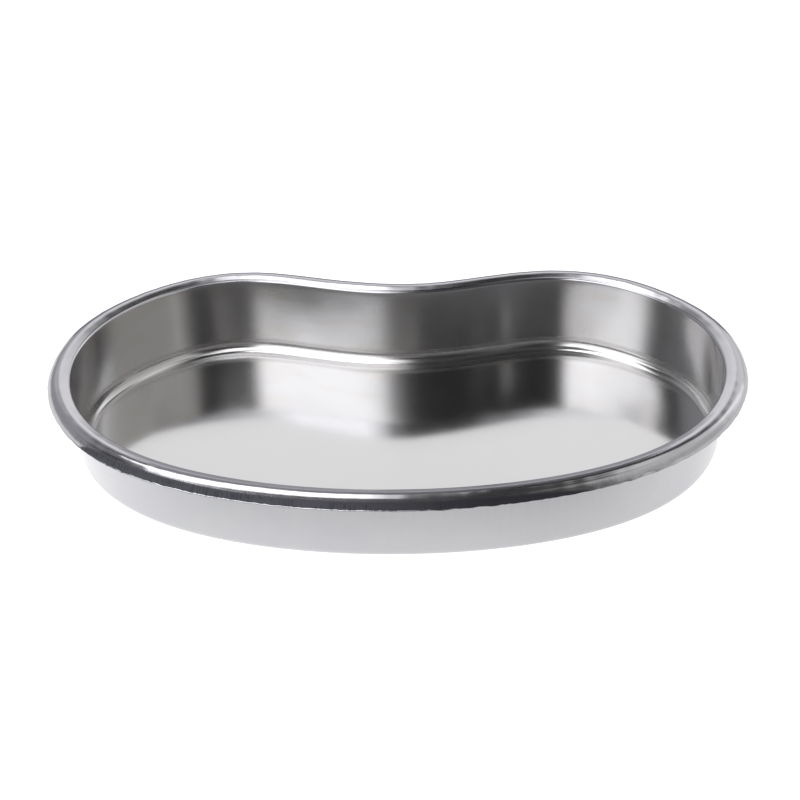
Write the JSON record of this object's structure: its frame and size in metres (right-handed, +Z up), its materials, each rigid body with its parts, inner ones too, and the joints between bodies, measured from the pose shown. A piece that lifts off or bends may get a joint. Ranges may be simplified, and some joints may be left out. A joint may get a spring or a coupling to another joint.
{
  "type": "kidney dish",
  "caption": "Shallow kidney-shaped dish pressed from one stainless sheet, with a flat floor, drafted wall and a broad turned-down rim with an open cut edge.",
  "frame": {"origin": "centre of the flat underside, on the face the dish rests on, half way between the ends and half way between the front and the back of the rim", "axes": "+X along the dish's length, +Y towards the concave bay side, +Z up out of the mouth"},
  "size_m": [0.2, 0.1252, 0.0246],
  "materials": {
    "steel": "satin polished, finely grained on the floor and wall, brighter on the rim"
  },
  "bodies": {
    "root": {"pressed_dish": "steel"}
  },
  "joints": []
}
